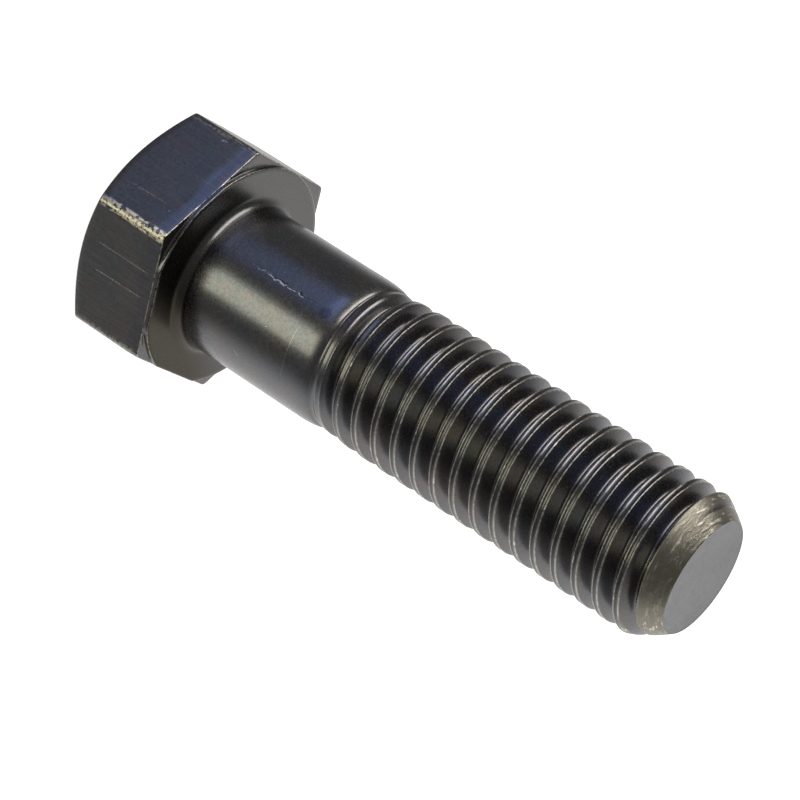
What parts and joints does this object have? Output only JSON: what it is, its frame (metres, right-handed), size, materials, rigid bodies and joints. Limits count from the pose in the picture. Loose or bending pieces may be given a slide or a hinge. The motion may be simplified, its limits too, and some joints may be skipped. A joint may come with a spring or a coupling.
{
  "type": "hex bolt",
  "caption": "Partly threaded hexagon-head bolt with a washer face, plain shank, right-hand thread and chamfered end.",
  "frame": {"origin": "centre of the bearing face under the head, on the bolt's axis", "axes": "+Z along the shank from the head to the end; +X through a corner of the hexagon; the head lies below z = 0"},
  "size_m": [0.0136, 0.0118, 0.0353],
  "materials": {
    "black_steel": "black oxide over steel, worn bright on edges and bare on the end chamfer"
  },
  "bodies": {
    "root": {"hex_bolt": "black_steel"}
  },
  "joints": []
}
